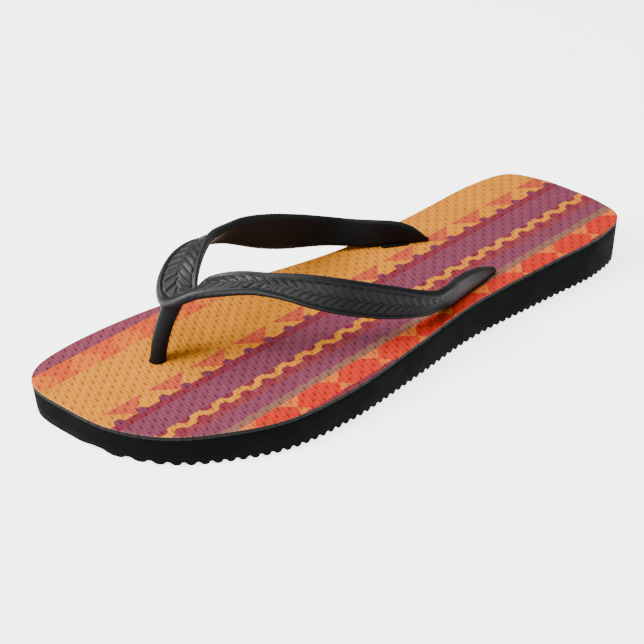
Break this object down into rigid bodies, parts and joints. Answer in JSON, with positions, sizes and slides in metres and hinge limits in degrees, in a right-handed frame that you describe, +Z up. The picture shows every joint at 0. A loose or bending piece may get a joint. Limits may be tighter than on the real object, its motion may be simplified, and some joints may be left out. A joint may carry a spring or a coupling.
{
  "type": "flip flop",
  "caption": "Left thong sandal: layered wedge sole with a printed, embossed top and ribbed underside, and a moulded Y-strap with a toe post.",
  "frame": {"origin": "middle of the sole's footprint, on the ground", "axes": "+Y from the toe to the heel, +X to the outer (little-toe) side, +Z up"},
  "size_m": [0.1054, 0.28, 0.0527],
  "materials": {
    "printed_sheet": "matte printed, woven-grain emboss",
    "black_foam": "matte foam rubber",
    "black_tread": "matte, cross ribs",
    "strap_rubber": "satin",
    "washer_plastic": "matte"
  },
  "bodies": {
    "rearfoot": {"footbed_sheet_rearfoot": "printed_sheet", "midsole_rearfoot": "black_foam", "outsole_rearfoot": "black_tread", "strap": "strap_rubber", "medial_washer": "washer_plastic", "lateral_washer": "washer_plastic"},
    "forefoot": {"footbed_sheet_forefoot": "printed_sheet", "midsole_forefoot": "black_foam", "outsole_forefoot": "black_tread", "toe_washer": "washer_plastic"}
  },
  "joints": [
    {"name": "ball_flex", "type": "hinge", "parent": "rearfoot", "child": "forefoot", "pos_m": [0, -0.044, 0.01516], "axis": [-1, 0, 0], "range_deg": [0, 35], "stiffness_Nm_per_rad": 0.4, "deforming": ["strap"]}
  ]
}
